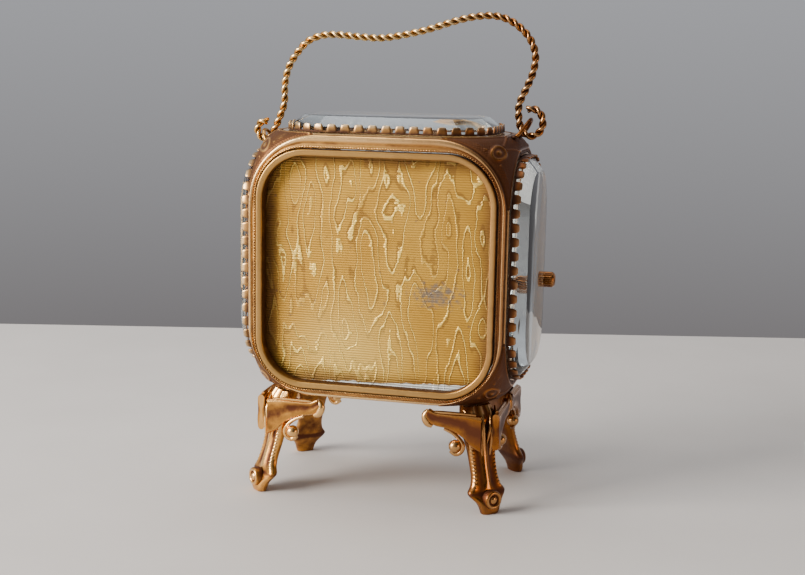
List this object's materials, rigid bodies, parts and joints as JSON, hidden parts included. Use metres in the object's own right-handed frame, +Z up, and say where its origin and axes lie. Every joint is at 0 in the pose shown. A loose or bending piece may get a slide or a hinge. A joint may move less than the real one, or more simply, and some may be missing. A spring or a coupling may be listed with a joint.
{
  "type": "trinket casket",
  "caption": "Small glazed trinket casket of gilt brass on splayed cast legs, with bevelled glass, a papered back, a hinged glass door, a cushion and a wire bail handle.",
  "frame": {"origin": "centre of the whole box of the part, on the plane that the feet stand on", "axes": "+Z up, -Y out of the glass door, +Y out of the papered back, +X to the door's hinge side"},
  "size_m": [0.0824, 0.0498, 0.1301],
  "materials": {
    "gilt_brass": "worn gilt, satin to bright, darker in the hollows",
    "aged_brass": "aged gilt with red-brown patina in the hollows",
    "bevelled_glass": "clear, slightly blue-grey, polished",
    "embossed_paper": "gold embossed watered paper on card",
    "lining_silk": "pale silk lining",
    "cushion_silk": "pale silk"
  },
  "bodies": {
    "case": {"side_frame_left": "gilt_brass", "side_frame_right": "gilt_brass", "top_frame": "gilt_brass", "bottom_plate": "gilt_brass", "corner_top_left": "gilt_brass", "corner_top_right": "gilt_brass", "corner_bottom_left": "gilt_brass", "corner_bottom_right": "gilt_brass", "front_jamb": "aged_brass", "back_frame": "gilt_brass", "back_bezel": "aged_brass", "back_panel_card": "embossed_paper", "back_lining": "lining_silk", "glass_left": "bevelled_glass", "glass_right": "bevelled_glass", "glass_top": "bevelled_glass", "claw_ring_left": "gilt_brass", "claw_ring_right": "gilt_brass", "claw_ring_top": "gilt_brass", "leg_back_left": "aged_brass", "leg_back_right": "aged_brass", "leg_front_left": "aged_brass", "leg_front_right": "aged_brass", "hinge_knuckle_case_0": "aged_brass", "hinge_knuckle_case_2": "aged_brass", "hinge_knuckle_case_4": "aged_brass", "hinge_pin": "aged_brass", "handle_eye_left": "gilt_brass", "handle_eye_right": "gilt_brass", "cushion": "cushion_silk"},
    "door": {"door_frame": "gilt_brass", "glass_door": "bevelled_glass", "claw_ring_door": "gilt_brass", "door_knob": "gilt_brass", "door_catch": "aged_brass", "hinge_knuckle_door_1": "aged_brass", "hinge_knuckle_door_3": "aged_brass"},
    "handle": {"handle_bail": "gilt_brass"}
  },
  "joints": [
    {"name": "door_hinge", "type": "hinge", "parent": "case", "child": "door", "pos_m": [0.03658, -0.01875, 0.063], "axis": [0, 0, 1], "range_deg": [0, 110]},
    {"name": "handle_swing", "type": "hinge", "parent": "case", "child": "handle", "pos_m": [0.03787, 0.002, 0.0949], "axis": [0.9992, 0, -0.0403], "range_deg": [-45, 45]}
  ]
}
